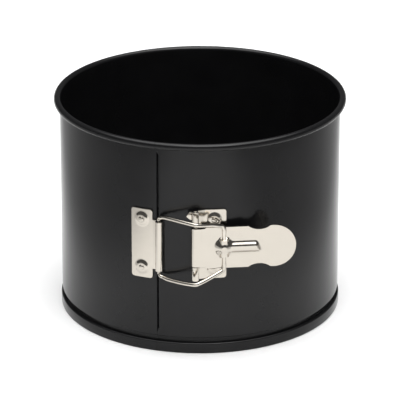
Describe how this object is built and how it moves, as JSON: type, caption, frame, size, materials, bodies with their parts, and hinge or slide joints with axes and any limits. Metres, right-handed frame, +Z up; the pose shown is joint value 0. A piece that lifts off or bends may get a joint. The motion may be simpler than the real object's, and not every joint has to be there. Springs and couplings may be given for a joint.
{
  "type": "springform pan",
  "caption": "Tall round springform cake pan: dark non-stick band with rolled rim, loose base disc, and a nickel wire-bail lever clasp at the front.",
  "frame": {"origin": "on the pan's vertical axis, in the plane of the base rim that stands on the table", "axes": "+Z up along the pan's axis; the clasp faces -Y, with its lever lying along +X; +X is to the right seen from the clasp's side"},
  "size_m": [0.168, 0.1797, 0.1271],
  "materials": {
    "ring_coating": "satin black non-stick coating on sheet steel",
    "base_coating": "satin black non-stick coating on sheet steel",
    "nickel_sheet": "bright nickel-plated pressed sheet steel",
    "nickel_rivet": "nickel-plated rivet",
    "nickel_wire": "bright nickel-plated steel wire"
  },
  "bodies": {
    "base": {"base_disc": "base_coating"},
    "ring_right": {"band_right": "ring_coating", "lever_bracket": "nickel_sheet", "bracket_rivet_upper": "nickel_rivet", "bracket_rivet_lower": "nickel_rivet", "pivot_pin": "nickel_wire"},
    "ring_left": {"band_left": "ring_coating", "catch_plate": "nickel_sheet", "catch_rivet_upper": "nickel_rivet", "catch_rivet_lower": "nickel_rivet", "bail_hinge_leg": "nickel_wire"},
    "lever": {"lever": "nickel_sheet"},
    "bail": {"bail_wire": "nickel_wire"}
  },
  "joints": [
    {"name": "ring_lift", "type": "slide", "parent": "base", "child": "ring_right", "axis": [0, 0, 1], "range_m": [0, 0.15]},
    {"name": "lever_swing", "type": "hinge", "parent": "ring_right", "child": "lever", "pos_m": [-0.0025, -0.0845, 0.0668], "axis": [0, 0, -1], "range_deg": [0, 175]},
    {"name": "band_open", "type": "hinge", "parent": "ring_right", "child": "ring_left", "pos_m": [0, 0.08404, 0.0636], "axis": [0, 0, -1], "range_deg": [0, 10.96]},
    {"name": "bail_swing", "type": "hinge", "parent": "lever", "child": "bail", "pos_m": [0.01351, -0.08615, 0.0668], "axis": [0, 0, -1], "range_deg": [-166.3, 0]}
  ],
  "couplings": [
    {"joint": "band_open", "follows": "lever_swing", "ratio": 0.06259},
    {"joint": "bail_swing", "follows": "lever_swing", "ratio": -0.95016}
  ]
}
